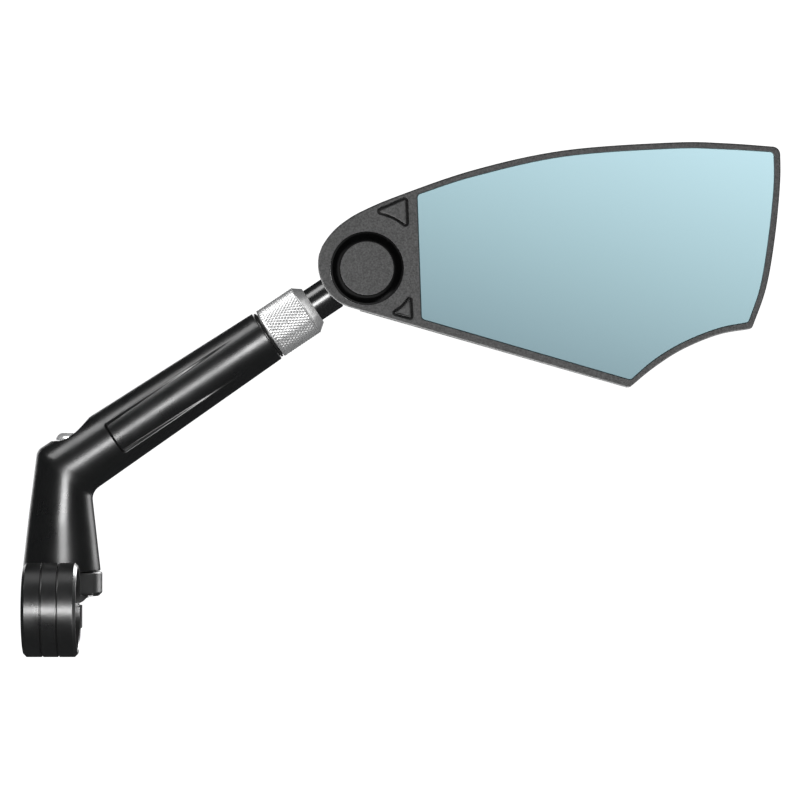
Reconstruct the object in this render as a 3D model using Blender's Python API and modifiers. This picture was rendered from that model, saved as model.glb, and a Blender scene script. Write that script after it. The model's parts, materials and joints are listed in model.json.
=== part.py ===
"""A handlebar bike mirror: split clamp ring, elbow arm, telescopic stem and ball-jointed mirror head.

The origin is the centre of the clamp ring's bore, on the handlebar's axis. +X runs along the bar towards
the mirror, +Y points away from the rider and +Z is up. The mirror faces the rider, along -Y.
"""

import math

import bmesh
import bpy
from mathutils import Matrix, Vector

MM = 0.001

# Clamp ring, for a 22.2 mm handlebar that runs along X
BORE_R = 11.2 * MM
RING_R = 13.0 * MM
RING_HALF_WIDTH = 7.5 * MM
RING_CHAMFER = 0.85 * MM
BORE_CHAMFER = 0.3 * MM
GROOVE_X = 2.25 * MM
GROOVE_HALF_WIDTH = 0.25 * MM
GROOVE_DEPTH = 0.4 * MM
SLIT_LOW, SLIT_HIGH = 0.3 * MM, 1.5 * MM

# The vertical bolt that closes the ring and carries the arm, and the ears that it passes through
BOLT_X = 3.9 * MM
ARM_Y = 22.8 * MM
BOLT_R = 2.45 * MM
BOLT_HOLE_R = 2.85 * MM
TAPPED_HOLE_R = 2.6 * MM
EAR_R = 8.85 * MM
EAR_LOW, EAR_HIGH = 3.0 * MM, 9.7 * MM
LOWER_EAR_LOW = -6.2 * MM
BOLT_TIP = -6.1 * MM
WASHER_LOW, WASHER_HIGH = 45.6 * MM, 46.5 * MM
POCKET_FLOOR = 45.35 * MM
POCKET_R = 5.4 * MM
HEAD_LOW, HEAD_HIGH = 46.7 * MM, 48.8 * MM

# Elbow arm: the leg's axis is vertical at LEG_X, and meets the tube's axis at the elbow
LEG_X = 1.3 * MM
LEG_LOW = 10.0 * MM
LEG_LOW_R = 11.0 * MM
LEG_TAPER = 0.1117
ELBOW = Vector((LEG_X, ARM_Y, 37.4 * MM))
TUBE_RISE = math.radians(33.74)
TUBE_R = 9.18 * MM
TUBE_TAPER = 0.02354
TUBE_END = 69.4 * MM
SPIGOT_R = 6.6 * MM
SPIGOT_END = 78.0 * MM
TUBE_BORE_R = 5.7 * MM
TUBE_BORE_START = 20.0 * MM
PANEL_START, PANEL_END = 18.0 * MM, 61.0 * MM
PANEL_ABOVE, PANEL_BELOW = 4.5 * MM, 5.1 * MM
PANEL_FLOOR_R = 7.72 * MM

# Twist lock and telescopic rod, at distances along the tube's axis from the elbow
COLLAR_R = 7.45 * MM
COLLAR_START, COLLAR_CONE, COLLAR_END = 70.4 * MM, 82.8 * MM, 84.9 * MM
ROD_R = 4.9 * MM
ROD_START, ROD_END = 28.0 * MM, 92.0 * MM
BALL_AT = 103.3 * MM
BALL_R = 7.0 * MM
NECK_R = 3.0 * MM

# Ball seats, which turn about Y inside the head
SEAT_R = 8.6 * MM
SEAT_CUP_R = 7.3 * MM
SEAT_HALF_GAP = 0.2 * MM
SEAT_HALF_LENGTH = 6.7 * MM

# Mirror head, in (across, up) from the ball's centre, and in depth from it, towards -Y for the front
FRONT = -9.8 * MM
BEZEL_BACK = -5.8 * MM
SHELL_FRONT = -5.55 * MM
LOBE_BACK = 9.8 * MM
LOBE_FAIRING = (13.5 * MM, 36.0 * MM)
BLADE_BACK, BLADE_FALL_ALONG, BLADE_FALL_UP = 3.4 * MM, 3.0 * MM, 1.6 * MM
LOBE_BORE_R = 8.95 * MM
LOBE_BORE_END = 7.3 * MM
GLASS_FRONT, GLASS_BACK = -9.5 * MM, -7.6 * MM
PAD_FRONT, PAD_BACK = -7.5 * MM, -7.1 * MM
POCKET_BACK = -7.0 * MM
FIT_GAP = 0.25 * MM
COVER_GAP = 0.45 * MM
RING_HOLE_R = 10.35 * MM
TENSION_RING_R = 10.1 * MM
CAP_R = 7.45 * MM
NOSE_CENTRE = Vector((-0.975, 1.21)) * MM
NOSE_R = 12.73 * MM
CORNER_ROOM = 1.4

MATERIALS = {
    "black_anodised": ((0.012, 0.012, 0.013), 0.35, 0.6),
    "silver_metal": ((0.75, 0.75, 0.76), 0.25, 1.0),
    "steel": ((0.55, 0.56, 0.58), 0.3, 1.0),
    "black_rubber": ((0.02, 0.02, 0.02), 0.7, 0.0),
    "black_gloss": ((0.008, 0.008, 0.009), 0.1, 0.0),
    "grey_plastic": ((0.1, 0.1, 0.1), 0.6, 0.0),
    "nylon": ((0.7, 0.69, 0.64), 0.5, 0.0),
    "tinted_glass": ((0.38, 0.56, 0.62), 0.05, 0.8),
    "foam": ((0.04, 0.04, 0.04), 0.9, 0.0),
}


# Scene, collections and materials


def clear_scene():
    for obj in list(bpy.data.objects):
        bpy.data.objects.remove(obj)


def new_collection(name):
    collection = bpy.data.collections.new(name)
    bpy.context.scene.collection.children.link(collection)
    return collection


clear_scene()
PARTS = new_collection("bike_mirror")
CUTTERS = new_collection("cutters")


def material(name, finish):
    colour, roughness, metallic = MATERIALS[finish]
    mat = bpy.data.materials.new(name)
    mat.use_nodes = True
    shader = mat.node_tree.nodes["Principled BSDF"]
    shader.inputs["Base Color"].default_value = (*colour, 1.0)
    shader.inputs["Roughness"].default_value = roughness
    shader.inputs["Metallic"].default_value = metallic
    return mat


def empty(name, location, tilt=0.0):
    """An axis or pivot that pieces are parented to, turned about Y by tilt."""
    obj = bpy.data.objects.new(name, None)
    obj.location = location
    obj.rotation_euler = (0.0, tilt, 0.0)
    PARTS.objects.link(obj)
    return obj


def add(name, mesh, finish=None, parent=None, rotation=(0.0, 0.0, 0.0)):
    """Links a mesh as a part with its own material, or as a cutter if it has no finish."""
    obj = bpy.data.objects.new(name, mesh)
    obj.parent = parent
    obj.rotation_euler = rotation
    if finish:
        PARTS.objects.link(obj)
        mesh.materials.append(material(name, finish))
    else:
        CUTTERS.objects.link(obj)
        obj.hide_render = True
        obj.display_type = "WIRE"
    return obj


# Turned, flat and lofted shapes


def turned(name, profile, finish=None, parent=None, rotation=(0.0, 0.0, 0.0), steps=48, loop=True):
    """A profile of (radius, height) points turned about the local Z axis, top first along its outside."""
    mesh = bpy.data.meshes.new(name)
    points = [(radius, 0.0, height) for radius, height in profile]
    edges = [(i, i + 1) for i in range(len(points) - 1)]
    if loop:
        edges.append((len(points) - 1, 0))
    mesh.from_pydata(points, edges, [])
    obj = add(name, mesh, finish, parent, rotation)
    screw = obj.modifiers.new("Turn", "SCREW")
    screw.steps = screw.render_steps = steps
    screw.use_merge_vertices = True
    screw.merge_threshold = 0.00001
    screw.use_smooth_shade = False
    return obj


def flat(name, outline, low, high, finish=None, parent=None, rotation=(0.0, 0.0, 0.0)):
    """A flat outline in local X and Y, filled and extruded from low to high along local Z."""
    curve = bpy.data.curves.new(name, "CURVE")
    curve.dimensions = "2D"
    curve.fill_mode = "BOTH"
    curve.extrude = (high - low) / 2
    spline = curve.splines.new("POLY")
    spline.points.add(len(outline) - 1)
    for point, (x, y) in zip(spline.points, outline):
        point.co = (x, y, 0.0, 1.0)
    spline.use_cyclic_u = True
    source = bpy.data.objects.new(name + "_outline", curve)
    CUTTERS.objects.link(source)
    source.location.z = (low + high) / 2
    bpy.context.view_layer.update()
    evaluated = source.evaluated_get(bpy.context.evaluated_depsgraph_get())
    mesh = bpy.data.meshes.new_from_object(evaluated)
    mesh.transform(source.matrix_world)
    bpy.data.objects.remove(source)
    weld(mesh)
    return add(name, mesh, finish, parent, rotation)


def weld(mesh):
    bm = bmesh.new()
    bm.from_mesh(mesh)
    bmesh.ops.remove_doubles(bm, verts=bm.verts, dist=0.000001)
    face_outwards(bm)
    bm.to_mesh(mesh)
    bm.free()


def face_outwards(bm):
    bmesh.ops.recalc_face_normals(bm, faces=bm.faces)
    if bm.calc_volume(signed=True) < 0.0:
        bmesh.ops.reverse_faces(bm, faces=bm.faces)


def lofted(name, rings, finish=None, parent=None, rotation=(0.0, 0.0, 0.0), tip=None):
    """A closed solid over rings of points: a flat cap on the first, and on the last one or at its tip."""
    bm = bmesh.new()
    rows = [[bm.verts.new(point) for point in ring] for ring in rings]
    count = len(rows[0])
    for low, high in zip(rows, rows[1:]):
        for i in range(count):
            j = (i + 1) % count
            bm.faces.new((low[i], low[j], high[j], high[i]))
    bm.faces.new(rows[0])
    if tip is None:
        bm.faces.new(rows[-1])
    else:
        top = bm.verts.new(tip)
        for i in range(count):
            bm.faces.new((rows[-1][i], rows[-1][(i + 1) % count], top))
    face_outwards(bm)
    mesh = bpy.data.meshes.new(name)
    bm.to_mesh(mesh)
    bm.free()
    return add(name, mesh, finish, parent, rotation)


def box(name, low, high, parent=None, rotation=(0.0, 0.0, 0.0)):
    """A box cutter between two corners in its parent's axes."""
    bm = bmesh.new()
    bmesh.ops.create_cube(bm, size=1.0)
    low, high = Vector(low), Vector(high)
    bm.transform(Matrix.Translation((low + high) / 2) @ Matrix.Diagonal((*(high - low), 1.0)))
    mesh = bpy.data.meshes.new(name)
    bm.to_mesh(mesh)
    bm.free()
    return add(name, mesh, None, parent, rotation)


def drill(name, radius, low, high, parent=None, rotation=(0.0, 0.0, 0.0), centre=(0.0, 0.0), steps=32):
    """A round cutter along local Z, from low to high, about centre."""
    bm = bmesh.new()
    bmesh.ops.create_cone(
        bm, cap_ends=True, segments=steps, radius1=radius, radius2=radius, depth=high - low
    )
    bmesh.ops.translate(bm, verts=bm.verts, vec=(*centre, (low + high) / 2))
    mesh = bpy.data.meshes.new(name)
    bm.to_mesh(mesh)
    bm.free()
    return add(name, mesh, None, parent, rotation)


def boolean(target, tool, operation):
    modifier = target.modifiers.new(operation.title(), "BOOLEAN")
    modifier.operation = operation
    modifier.solver = "EXACT"
    modifier.object = tool


def cut(target, *tools):
    for tool in tools:
        boolean(target, tool, "DIFFERENCE")


def join(target, *tools):
    for tool in tools:
        boolean(target, tool, "UNION")


def bevel(obj, width, segments=1, angle=50.0):
    modifier = obj.modifiers.new("Edges", "BEVEL")
    modifier.width = width
    modifier.segments = segments
    modifier.limit_method = "ANGLE"
    modifier.angle_limit = math.radians(angle)


# Outlines


def arc(centre, radius, start, end, steps):
    """Points on an arc, with its angles in degrees."""
    angles = [math.radians(start + (end - start) * i / steps) for i in range(steps + 1)]
    return [Vector((centre[0] + radius * math.cos(a), centre[1] + radius * math.sin(a))) for a in angles]


def fillet(before, corner, after, radius, steps):
    """The arc that rounds the corner between two straight runs."""
    before, corner, after = Vector(before), Vector(corner), Vector(after)
    to_before = (before - corner).normalized()
    to_after = (after - corner).normalized()
    half = to_before.angle(to_after) / 2
    centre = corner + (to_before + to_after).normalized() * radius / math.sin(half)
    reach = radius / math.tan(half)
    first = corner + to_before * reach - centre
    last = corner + to_after * reach - centre
    start = math.degrees(math.atan2(first.y, first.x))
    turn = math.degrees(math.atan2(first.x * last.y - first.y * last.x, first.dot(last)))
    return arc(centre, radius, start, start + turn, steps)


def smooth_run(points, steps):
    """A smooth curve through a few points, in millimetres, with steps points to a span."""
    knots = [Vector(point) * MM for point in points]
    knots = [knots[0] * 2 - knots[1]] + knots + [knots[-1] * 2 - knots[-2]]
    run = []
    for a, b, c, d in zip(knots, knots[1:], knots[2:], knots[3:]):
        for i in range(steps):
            t = i / steps
            run.append(
                (b * 2 + (c - a) * t + (a * 2 - b * 5 + c * 4 - d) * t**2 + (b * 3 - a - c * 3 + d) * t**3) / 2
            )
    return run + [knots[-2]]


def joined_runs(runs, radii, onward=None, steps=3):
    """One outline of several runs, each ending at the next one's start, with those corners rounded.

    The last run's corner turns towards the point onward, or into the first run.
    """
    outline = []
    for i, run in enumerate(runs):
        after = runs[(i + 1) % len(runs)][1]
        if onward is not None and i == len(runs) - 1:
            after = onward
        room_before, room_after = radii[i - 1] * CORNER_ROOM, radii[i] * CORNER_ROOM
        for point in run[1:-1]:
            if (point - run[0]).length > room_before and (point - run[-1]).length > room_after:
                outline.append(point)
        outline += fillet(run[-2], run[-1], after, radii[i], steps)
    return outline


def inset(outline, distance):
    """The outline moved inwards by distance. The outline runs clockwise."""
    moved = []
    for i, point in enumerate(outline):
        before, after = outline[i - 1], outline[(i + 1) % len(outline)]
        a = (point - before).normalized()
        b = (after - point).normalized()
        inward = Vector((a.y + b.y, -a.x - b.x)).normalized()
        moved.append(point + inward * distance / max(inward.dot(Vector((a.y, -a.x))), 0.3))
    return moved


def head_outline():
    """The mirror head seen from the rider: round nose on the left, blade on the right, clockwise."""
    nose = arc(NOSE_CENTRE, NOSE_R, 253.9, 168.0, 11)
    top_knots = [nose[-1] / MM, (-11.9, 7.2), (-9.4, 10.4), (-6.2, 13.1), (-1.5, 15.9), (8.6, 20.2)]
    top_knots += [(30.0, 27.5), (55.0, 32.9), (85.0, 35.1), (100.0, 34.9), (115.3, 33.8)]
    top = smooth_run(top_knots, 3)
    outer = smooth_run([(115.3, 33.8), (115.3, 24.0), (113.9, 9.0), (111.4, -5.5), (107.4, -16.9)], 3)
    notch = smooth_run([(107.4, -16.9), (98.0, -18.6), (88.0, -22.7), (80.0, -27.8), (73.1, -33.45)], 3)
    corners = joined_runs([top, outer, notch], [2.2 * MM, 1.5 * MM, 1.5 * MM], nose[0])
    return nose + corners


def glass_outline(corner_r):
    """The mirror glass, clockwise from its lower left corner."""
    left = [Vector((15.1, -14.25)) * MM, Vector((13.9, 20.6)) * MM]
    top = smooth_run([(13.9, 20.6), (30.0, 25.8), (55.0, 31.3), (85.0, 33.5), (100.0, 33.3), (113.6, 32.5)], 3)
    outer = smooth_run([(113.6, 32.5), (113.6, 23.0), (112.2, 9.0), (109.9, -5.0), (106.5, -15.2)], 3)
    notch = smooth_run([(106.5, -15.2), (98.0, -16.9), (88.0, -20.9), (80.0, -25.8), (73.6, -31.3)], 3)
    base = [notch[-1], left[0]]
    return joined_runs([left, top, outer, notch, base], [corner_r] * 5)


def triangle(corners, radius, gap=0.0):
    """A small triangle with rounded corners, clockwise, grown by gap."""
    points = [Vector(corner) * MM for corner in corners]
    outline = []
    for i, corner in enumerate(points):
        outline += fillet(points[i - 1], corner, points[(i + 1) % 3], radius, 3)
    return inset(outline, -gap) if gap else outline


# Clamp


def make_clamp_ring():
    along_x = (0.0, math.pi / 2, 0.0)
    w, c, g = RING_HALF_WIDTH, RING_CHAMFER, GROOVE_HALF_WIDTH
    profile = [(0.0, w), (RING_R - c, w), (RING_R, w - c)]
    for x in (GROOVE_X, -GROOVE_X):
        profile += [(RING_R, x + g), (RING_R - GROOVE_DEPTH, x + g)]
        profile += [(RING_R - GROOVE_DEPTH, x - g), (RING_R, x - g)]
    profile += [(RING_R, c - w), (RING_R - c, -w), (0.0, -w)]
    ring = turned("clamp_ring", profile, "black_anodised", None, along_x, loop=False)

    bolt_axis = empty("ear_axis", (BOLT_X, ARM_Y, 0.0))
    chamfer = 1.2 * MM
    boss = turned(
        "upper_ear",
        [
            (0.0, EAR_HIGH),
            (EAR_R - 0.4 * MM, EAR_HIGH),
            (EAR_R, EAR_HIGH - 0.4 * MM),
            (EAR_R, EAR_LOW + chamfer),
            (EAR_R - chamfer, EAR_LOW),
            (0.0, EAR_LOW),
        ],
        parent=bolt_axis,
        steps=36,
        loop=False,
    )
    web_outline = [
        (-4.6 * MM, 9.0 * MM),
        (6.8 * MM, 9.0 * MM),
        (6.8 * MM, 13.0 * MM),
        (10.5 * MM, 16.9 * MM),
        (10.5 * MM, ARM_Y),
        (-4.6 * MM, ARM_Y),
    ]
    web = flat("ear_web", web_outline, EAR_LOW + 0.3 * MM, EAR_HIGH - 0.3 * MM)
    lower_left, lower_right, lower_end = -5.5 * MM, 7.0 * MM, 28.0 * MM
    lower_outline = [(lower_left, 9.0 * MM), (lower_right, 9.0 * MM)]
    lower_outline += fillet(lower_outline[-1], (lower_right, lower_end), (lower_left, lower_end), 3.2 * MM, 5)
    lower_outline += fillet(
        (lower_right, lower_end), (lower_left, lower_end), (lower_left, 9.0 * MM), 3.2 * MM, 5
    )
    lower_ear = flat("lower_ear", lower_outline, LOWER_EAR_LOW, 0.9 * MM)
    join(ring, boss, web, lower_ear)

    far = 2.0 * MM
    bore = turned(
        "ring_bore",
        [
            (0.0, w + far),
            (BORE_R + BORE_CHAMFER + far, w + far),
            (BORE_R, w - BORE_CHAMFER),
            (BORE_R, BORE_CHAMFER - w),
            (BORE_R + BORE_CHAMFER + far, -w - far),
            (0.0, -w - far),
        ],
        rotation=along_x,
        loop=False,
    )
    slit = box("ring_slit", (-20 * MM, 5 * MM, SLIT_LOW), (20 * MM, 40 * MM, SLIT_HIGH))
    upper_hole = drill("ear_bolt_hole", BOLT_HOLE_R, 1 * MM, 12 * MM, parent=bolt_axis)
    tapped_hole = drill("ear_tapped_hole", TAPPED_HOLE_R, -10 * MM, 2 * MM, parent=bolt_axis)
    cut(ring, bore, slit, upper_hole, tapped_hole)


def make_bolt(axis):
    profile = [
        (0.0, HEAD_HIGH),
        (2.6 * MM, HEAD_HIGH - 0.1 * MM),
        (3.7 * MM, HEAD_HIGH - 0.5 * MM),
        (4.25 * MM, HEAD_HIGH - 1.2 * MM),
        (4.25 * MM, HEAD_LOW),
        (BOLT_R, HEAD_LOW),
        (BOLT_R, BOLT_TIP + 0.5 * MM),
        (BOLT_R - 0.5 * MM, BOLT_TIP),
        (0.0, BOLT_TIP),
    ]
    bolt = turned("clamp_bolt", profile, "silver_metal", axis, steps=32, loop=False)
    socket = drill("hex_socket", 2.3 * MM, HEAD_HIGH - 1.5 * MM, HEAD_HIGH + 1 * MM, parent=axis, steps=6)
    cut(bolt, socket)
    washer_r, hole_r = 5.0 * MM, 2.75 * MM
    turned(
        "bolt_washer",
        [(hole_r, WASHER_HIGH), (washer_r, WASHER_HIGH), (washer_r, WASHER_LOW), (hole_r, WASHER_LOW)],
        "silver_metal",
        axis,
        steps=32,
    )


# Arm


def make_arm(axis, tube):
    along = Vector((math.cos(TUBE_RISE), 0.0, math.sin(TUBE_RISE)))
    above = Vector((-along.z, 0.0, along.x))

    def leg_section(z, radius):
        return Vector((LEG_X - radius, z)), Vector((LEG_X + radius, z)), radius

    def tube_section(s, radius):
        centre = ELBOW + along * s
        outer, inner = centre + above * radius, centre - above * radius
        return outer.xz, inner.xz, radius

    def leg_r(z):
        return LEG_LOW_R - LEG_TAPER * (z - LEG_LOW)

    def tube_r(s):
        return TUBE_R - TUBE_TAPER * s

    rounding = 0.5 * MM
    sections = [
        leg_section(LEG_LOW, LEG_LOW_R - rounding),
        leg_section(LEG_LOW + 0.25 * rounding, LEG_LOW_R - 0.28 * rounding),
        leg_section(LEG_LOW + rounding, leg_r(LEG_LOW + rounding)),
    ]
    high = 25 * MM
    outer_corner, inner_corner = Vector((-5.6, 43.85)) * MM, Vector((9.8, 32.15)) * MM
    leg_outer, leg_inner, _ = leg_section(LEG_LOW, LEG_LOW_R)
    tube_outer, tube_inner, _ = tube_section(TUBE_END, tube_r(TUBE_END))
    bend_steps = 6
    outer_bend = fillet(leg_outer, outer_corner, tube_outer, 3.0 * MM, bend_steps)
    inner_bend = fillet(leg_inner, inner_corner, tube_inner, 4.0 * MM, bend_steps)
    for i, (outer, inner) in enumerate(zip(outer_bend, inner_bend)):
        width = leg_r(high) + (tube_r(0.0) - leg_r(high)) * i / bend_steps
        sections.append((outer, inner, width))
    edge = 0.4 * MM
    sections += [
        tube_section(TUBE_END - edge, tube_r(TUBE_END)),
        tube_section(TUBE_END, tube_r(TUBE_END) - edge),
        tube_section(TUBE_END, SPIGOT_R),
        tube_section(SPIGOT_END - edge, SPIGOT_R),
        tube_section(SPIGOT_END, SPIGOT_R - edge),
    ]
    count = 44
    rings = []
    for outer, inner, half_width in sections:
        middle, reach = (outer + inner) / 2, (outer - inner) / 2
        ring = []
        for i in range(count):
            a = math.tau * i / count
            x, z = middle + reach * math.cos(a)
            ring.append((x, ARM_Y + half_width * math.sin(a), z))
        rings.append(ring)
    arm = lofted("arm_casting", rings, "black_anodised")

    panel = box("panel_strip", (-PANEL_ABOVE, -14 * MM, PANEL_START), (PANEL_BELOW, -3 * MM, PANEL_END), tube)
    panel_floor = drill("panel_floor", PANEL_FLOOR_R, 5 * MM, 75 * MM, tube, steps=72)
    cut(panel, panel_floor)
    tube_bore = turned(
        "tube_bore",
        [
            (0.0, 85 * MM),
            (TUBE_BORE_R, 85 * MM),
            (TUBE_BORE_R, TUBE_BORE_START),
            (0.0, TUBE_BORE_START - 2 * MM),
        ],
        parent=tube,
        loop=False,
        steps=40,
    )
    cut(
        arm,
        panel,
        drill("bolt_pocket", POCKET_R, POCKET_FLOOR, 65 * MM, axis, steps=40),
        drill("arm_bolt_hole", BOLT_HOLE_R, 5 * MM, 50 * MM, axis),
        drill("swivel_recess", 6.3 * MM, 5 * MM, 11.1 * MM, axis),
        tube_bore,
    )


def make_arm_fittings(axis, tube):
    inner, outer, low, high = BOLT_HOLE_R + 0.1 * MM, 6.0 * MM, 9.95 * MM, 10.85 * MM
    turned("swivel_washer", [(inner, high), (outer, high), (outer, low), (inner, low)], "nylon", axis, steps=32)

    seal_low, seal_high, seal_edge = 69.6 * MM, 70.2 * MM, 0.12 * MM
    seal_in, seal_out = SPIGOT_R + 0.2 * MM, 7.15 * MM
    turned(
        "tube_seal",
        [
            (seal_in, seal_high),
            (seal_out - seal_edge, seal_high),
            (seal_out, seal_high - seal_edge),
            (seal_out, seal_low + seal_edge),
            (seal_out - seal_edge, seal_low),
            (seal_in, seal_low),
        ],
        "black_rubber",
        tube,
        steps=28,
    )

    grip = ROD_R + 0.2 * MM
    collet = turned(
        "collet",
        [
            (grip, 82.6 * MM),
            (5.4 * MM, 82.6 * MM),
            (6.4 * MM, 79.4 * MM),
            (6.4 * MM, 78.3 * MM),
            (5.45 * MM, 78.3 * MM),
            (5.45 * MM, 70.0 * MM),
            (grip, 70.0 * MM),
        ],
        "nylon",
        tube,
        steps=28,
    )
    for i in range(2):
        turn = (0.0, 0.0, math.pi / 4 + i * math.pi / 2)
        low, high = (-9 * MM, -0.4 * MM, 74 * MM), (9 * MM, 0.4 * MM, 84 * MM)
        cut(collet, box(f"collet_slot_{i}", low, high, tube, turn))


def make_collar(tube):
    edge, thread_r = 0.3 * MM, 6.95 * MM
    turned(
        "lock_collar",
        [
            (ROD_R + 0.3 * MM, COLLAR_END),
            (5.6 * MM, COLLAR_END),
            (7.2 * MM, COLLAR_CONE),
            (COLLAR_R, COLLAR_CONE - edge),
            (COLLAR_R, COLLAR_START + edge),
            (COLLAR_R - edge, COLLAR_START),
            (thread_r, COLLAR_START),
            (thread_r, 79.6 * MM),
            (ROD_R + 0.3 * MM, COLLAR_END - 0.9 * MM),
        ],
        "silver_metal",
        tube,
        steps=40,
    )


# Telescopic stem


def make_stem(tube):
    neck_r, neck_end, bush_r = 3.9 * MM, 36.3 * MM, 5.45 * MM
    turned(
        "guide_bush",
        [
            (neck_r + 0.2 * MM, 36.0 * MM),
            (bush_r, 36.0 * MM),
            (bush_r, 28.3 * MM),
            (neck_r + 0.2 * MM, 28.3 * MM),
        ],
        "nylon",
        tube,
        steps=28,
    )
    tapped_r, tapped_end = 1.9 * MM, 37.0 * MM
    stud_hole_r, stud_hole_end = 2.8 * MM, 81.0 * MM
    edge = 0.3 * MM
    turned(
        "extension_rod",
        [
            (0.0, stud_hole_end),
            (stud_hole_r, stud_hole_end),
            (stud_hole_r, ROD_END),
            (ROD_R - edge, ROD_END),
            (ROD_R, ROD_END - edge),
            (ROD_R, neck_end + edge),
            (ROD_R - edge, neck_end),
            (neck_r, neck_end),
            (neck_r, ROD_START),
            (tapped_r, ROD_START),
            (tapped_r, tapped_end),
            (0.0, tapped_end),
        ],
        "black_gloss",
        tube,
        steps=32,
        loop=False,
    )
    screw_r = 1.6 * MM
    screw = turned(
        "bush_screw",
        [
            (0.0, 36.0 * MM),
            (screw_r, 36.0 * MM),
            (screw_r, 27.7 * MM),
            (4.6 * MM, 27.7 * MM),
            (4.6 * MM, 26.4 * MM),
            (4.0 * MM, 25.9 * MM),
            (0.0, 25.9 * MM),
        ],
        "steel",
        tube,
        steps=24,
        loop=False,
    )
    cut(screw, drill("bush_screw_socket", 1.4 * MM, 24 * MM, 27 * MM, tube, steps=6))

    rise = math.degrees(math.asin(NECK_R / BALL_R))
    ball = [(p.x, BALL_AT + p.y) for p in arc((0.0, 0.0), BALL_R, 90.0, rise - 90.0, 9)]
    ball[0] = (0.0, BALL_AT + BALL_R)
    shoulder_r, tail_r = 3.3 * MM, 2.5 * MM
    turned(
        "ball_stud",
        ball
        + [
            (NECK_R, ROD_END + 1.2 * MM),
            (shoulder_r, ROD_END + 0.9 * MM),
            (shoulder_r, ROD_END + 0.3 * MM),
            (tail_r, ROD_END + 0.3 * MM),
            (tail_r, stud_hole_end + 0.6 * MM),
            (0.0, stud_hole_end + 0.6 * MM),
        ],
        "steel",
        tube,
        steps=24,
        loop=False,
    )


# Mirror head

# Turned pieces of the head stand along Y: local +Z points to the back
ALONG_Y = (-math.pi / 2, 0.0, 0.0)


def sphere_run(start_depth, end_depth, steps=4):
    """The inside of a ball seat, from one depth to another, as (radius, depth)."""
    start = math.degrees(math.asin(start_depth / SEAT_CUP_R))
    end = math.degrees(math.asin(end_depth / SEAT_CUP_R))
    return [tuple(p) for p in arc((0.0, 0.0), SEAT_CUP_R, start, end, steps)]


def make_seats(head, stem_turn):
    edge = 0.4 * MM
    rear_profile = [
        (SEAT_R - edge, SEAT_HALF_LENGTH),
        (SEAT_R, SEAT_HALF_LENGTH - edge),
        (SEAT_R, SEAT_HALF_GAP),
    ] + sphere_run(SEAT_HALF_GAP, SEAT_HALF_LENGTH)
    front_profile = [
        (SEAT_R, -SEAT_HALF_GAP),
        (SEAT_R, edge - SEAT_HALF_LENGTH),
        (SEAT_R - edge, -SEAT_HALF_LENGTH),
    ] + sphere_run(-SEAT_HALF_LENGTH, -SEAT_HALF_GAP)
    rear = turned("seat_rear", rear_profile, "nylon", head, ALONG_Y, steps=28)
    front = turned("seat_front", front_profile, "nylon", head, ALONG_Y, steps=28)
    side = NECK_R + 0.4 * MM
    slot = box("seat_slot", (-14 * MM, -5.3 * MM, -side), (-3.8 * MM, 12 * MM, side), head, stem_turn)
    cut(rear, slot)
    cut(front, slot)


def back_depth(x, z):
    """How far behind the ball's centre the head's back stands at a point seen from the rider."""
    blade = BLADE_BACK - BLADE_FALL_ALONG * ((x - 50 * MM) / (65 * MM)) ** 2
    blade -= BLADE_FALL_UP * (z / (30 * MM)) ** 2
    near, far = LOBE_FAIRING
    reach = min(max((far - math.hypot(x, z)) / (far - near), 0.0), 1.0)
    lobe = reach * reach * (3.0 - 2.0 * reach)
    return blade + (LOBE_BACK - blade) * lobe


def backed_solid(name, outline, centre, front, sink, edge_steps, finish=None, parent=None):
    """A solid with a flat front and a crowned back that follows back_depth, sunk by sink."""
    centre = Vector(centre)

    def ring(distance, drop):
        points = []
        for point in outline:
            ray = point - centre
            spot = centre + ray * (1.0 - distance / ray.length)
            depth = back_depth(*spot) - sink - drop
            points.append((spot.x, depth, spot.y))
        return points

    rings = [[(p.x, front, p.y) for p in outline]]
    rings += [ring(distance, drop) for distance, drop in edge_steps]
    for share in (0.82, 0.66, 0.5, 0.34, 0.18):
        shrunk = [centre + (point - centre) * share for point in outline]
        rings.append([(p.x, back_depth(*p) - sink, p.y) for p in shrunk])
    tip = (centre.x, back_depth(*centre) - sink, centre.y)
    return lofted(name, rings, finish, parent, tip=tip)


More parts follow.
